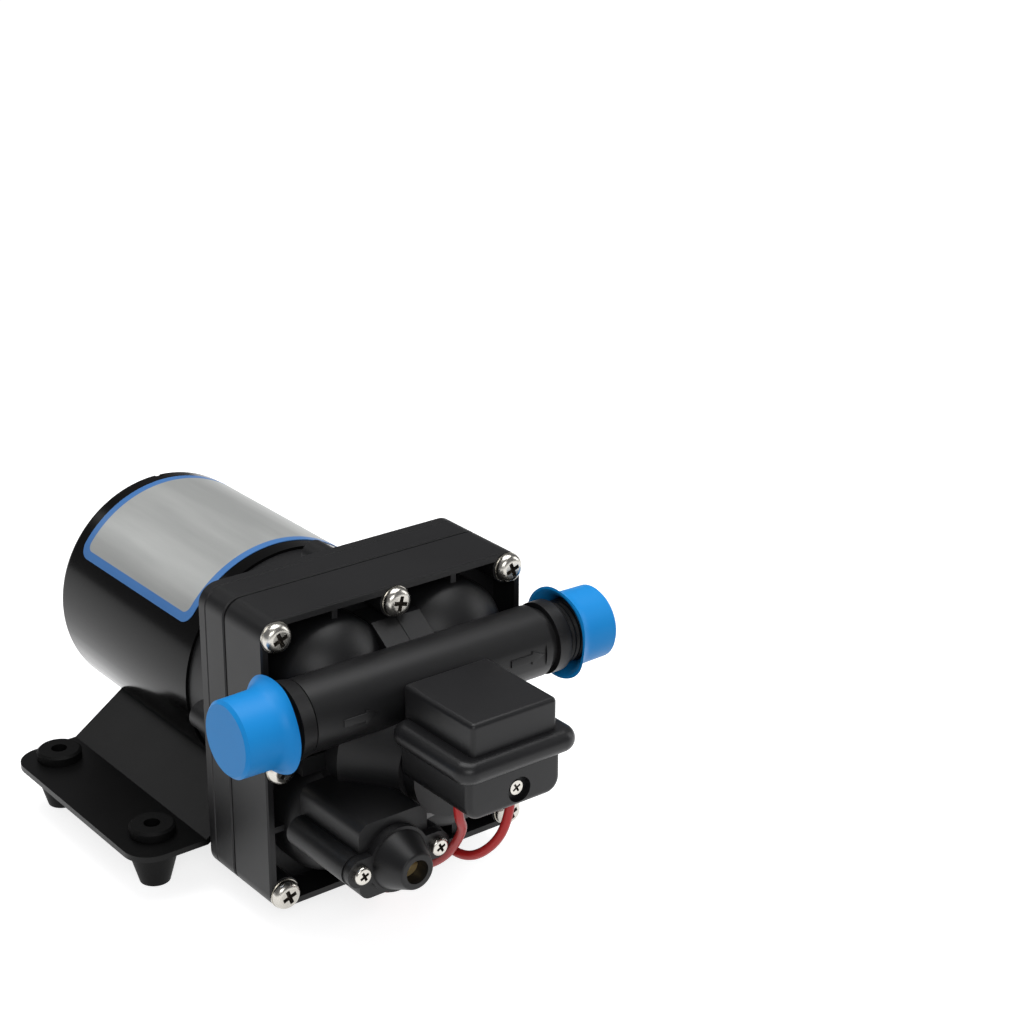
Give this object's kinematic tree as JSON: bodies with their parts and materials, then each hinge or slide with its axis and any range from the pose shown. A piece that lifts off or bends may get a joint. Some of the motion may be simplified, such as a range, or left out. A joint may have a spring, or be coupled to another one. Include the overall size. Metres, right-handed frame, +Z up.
{
  "type": "caravan water pump",
  "caption": "Square-headed black diaphragm water pump for caravans: two side ports under blue caps, pressure switch, bypass and round motor on a four-foot sheet base.",
  "frame": {"origin": "centre of the four-foot pattern on the floor", "axes": "+Z up, +Y along the motor axis towards the motor's rear end, the switch faces -Y, the ports point along X"},
  "size_m": [0.149, 0.2165, 0.1085],
  "materials": {
    "plate_black": "matte",
    "can_black": "gloss",
    "label_foil": "satin",
    "head_plastic": "satin",
    "switch_plastic": "satin",
    "foot_rubber": "matte",
    "cap_blue": "gloss",
    "screw_steel": "satin",
    "inner_steel": "satin",
    "brass": "satin",
    "copper": "satin",
    "carbon": "matte",
    "ferrite": "matte",
    "lead_red": "satin",
    "seal_rubber": "matte",
    "inner_plastic": "satin",
    "board": "matte"
  },
  "bodies": {
    "pump": {"base_plate": "plate_black", "rubber_feet": "foot_rubber", "motor_can": "can_black", "name_label": "label_foil", "magnets": "ferrite", "brushes": "carbon", "brush_springs": "inner_steel", "brush_holder": "board", "front_bearing": "inner_steel", "rear_bearing": "brass", "motor_end_bell": "inner_steel", "motor_screws": "screw_steel", "lead_grommet": "seal_rubber", "rear_housing": "head_plastic", "middle_housing": "head_plastic", "front_housing": "head_plastic", "head_screws": "screw_steel", "head_washers": "screw_steel", "diaphragm": "seal_rubber", "valve_housing": "inner_plastic", "valve_seal": "seal_rubber", "inlet_valves": "seal_rubber", "outlet_valve": "seal_rubber", "switch_body": "switch_plastic", "switch_cover": "switch_plastic", "switch_screws": "screw_steel", "switch_diaphragm": "seal_rubber", "switch_spring": "inner_steel", "micro_switch": "carbon", "switch_terminals": "brass", "bypass_cap": "head_plastic", "bypass_screws": "screw_steel", "bypass_spring": "inner_steel", "switch_lead_a": "lead_red", "switch_lead_b": "lead_red"},
    "rotor": {"motor_shaft": "inner_steel", "armature_core": "inner_steel", "armature_windings": "copper", "commutator": "copper", "eccentric_cam": "inner_steel", "cam_grub_screw": "screw_steel", "cam_bearing_inner": "inner_steel"},
    "wobbler": {"wobble_plate": "inner_plastic", "pistons": "inner_plastic", "piston_screws": "screw_steel", "cam_bearing_outer": "inner_steel", "cam_bearing_balls": "inner_steel"},
    "left_cap": {"port_cap_left": "cap_blue"},
    "right_cap": {"port_cap_right": "cap_blue"},
    "plunger": {"switch_plunger": "inner_plastic"},
    "button": {"micro_button": "inner_plastic"},
    "poppet": {"bypass_poppet": "inner_plastic", "bypass_oring": "seal_rubber"},
    "pressure_screw": {"pressure_adjuster": "screw_steel"},
    "bypass_screw": {"bypass_adjuster": "brass"}
  },
  "joints": [
    {"name": "rotor_spin", "type": "hinge", "parent": "pump", "child": "rotor", "pos_m": [0, 0, 0.0585], "axis": [0, 1, 0], "continuous": true},
    {"name": "wobble", "type": "hinge", "parent": "rotor", "child": "wobbler", "pos_m": [0, -0.0645, 0.0585], "axis": [0, 0.999, 0.0436], "continuous": true, "deforming": ["diaphragm"]},
    {"name": "left_cap_pull", "type": "slide", "parent": "pump", "child": "left_cap", "axis": [-1, 0, 0], "range_m": [0, 0.06]},
    {"name": "right_cap_pull", "type": "slide", "parent": "pump", "child": "right_cap", "axis": [1, 0, 0], "range_m": [0, 0.06]},
    {"name": "plunger_slide", "type": "slide", "parent": "pump", "child": "plunger", "axis": [0, -1, 0], "range_m": [0, 0.0008], "stiffness_N_per_m": 2000, "deforming": ["switch_spring", "switch_diaphragm"]},
    {"name": "button_slide", "type": "slide", "parent": "pump", "child": "button", "axis": [0, -1, 0], "range_m": [0, 0.0008]},
    {"name": "poppet_slide", "type": "slide", "parent": "pump", "child": "poppet", "axis": [0, -1, 0], "range_m": [0, 0.0015], "stiffness_N_per_m": 1500, "deforming": ["bypass_spring"]},
    {"name": "pressure_turn", "type": "hinge", "parent": "pump", "child": "pressure_screw", "pos_m": [0.0016, -0.145, 0.0628], "axis": [0, 1, 0], "range_deg": [-180, 180]},
    {"name": "bypass_turn", "type": "hinge", "parent": "pump", "child": "bypass_screw", "pos_m": [-0.02845, -0.13, 0.0402], "axis": [0, 1, 0], "range_deg": [-180, 180]}
  ],
  "couplings": [
    {"joint": "wobble", "follows": "rotor_spin", "ratio": -1},
    {"joint": "button_slide", "follows": "plunger_slide", "ratio": 1}
  ]
}
